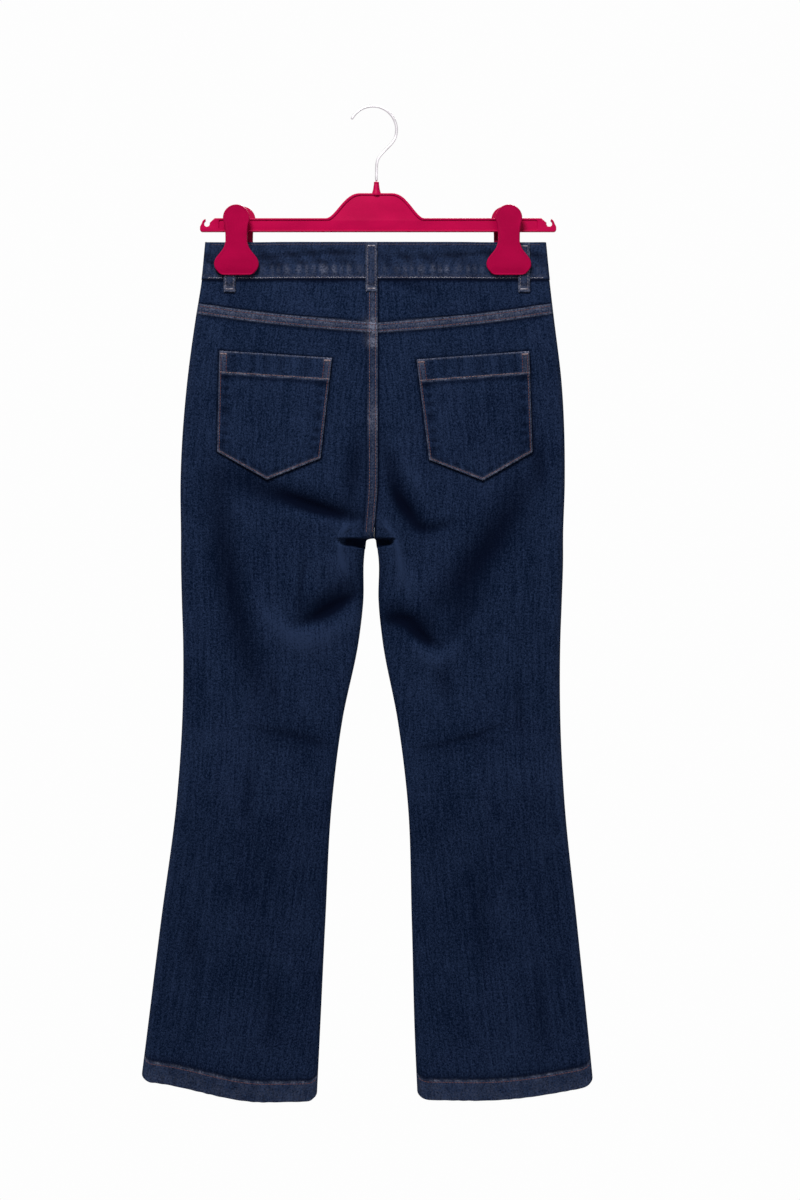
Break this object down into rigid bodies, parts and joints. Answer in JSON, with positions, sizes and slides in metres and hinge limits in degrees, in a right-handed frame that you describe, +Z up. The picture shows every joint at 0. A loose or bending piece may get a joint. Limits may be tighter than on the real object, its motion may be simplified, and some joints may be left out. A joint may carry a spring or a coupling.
{
  "type": "flared jeans on a clip hanger",
  "caption": "Dark indigo flared jeans with back yoke, patch pockets and belt loops, hung flat by the waistband from a crimson plastic clip hanger with a steel wire hook.",
  "frame": {"origin": "inside top of the hook's bow, where a rail carries it", "axes": "+Z up, +X the wearer's right, -Y towards the back of the jeans (the side shown), +Y towards the front"},
  "size_m": [0.5318, 0.0396, 1.1758],
  "materials": {
    "denim": "dark indigo stretch twill, matt, slightly faded on seams and hems",
    "hanger_plastic": "semi-gloss crimson moulded plastic",
    "hook_steel": "bright zinc-plated steel wire",
    "copper": "antique copper, satin"
  },
  "bodies": {
    "root": {"back_leg_left": "denim", "back_leg_right": "denim", "back_yoke_left": "denim", "back_yoke_right": "denim", "back_pocket_left": "denim", "back_pocket_right": "denim", "front_leg_left": "denim", "front_leg_right": "denim", "waistband": "denim", "loop_centre_back": "denim", "loop_back_left": "denim", "loop_back_right": "denim", "loop_front_left": "denim", "loop_front_right": "denim", "fly_facing": "denim", "fly_shield": "denim", "hanger_bar": "hanger_plastic", "clip_back_left": "hanger_plastic", "clip_back_right": "hanger_plastic", "clip_front_left": "hanger_plastic", "clip_front_right": "hanger_plastic", "hanger_hook": "hook_steel", "clip_spring_left": "hook_steel", "clip_spring_right": "hook_steel", "zip_tape": "copper", "zip_slider": "copper", "waist_button": "copper"}
  },
  "joints": []
}
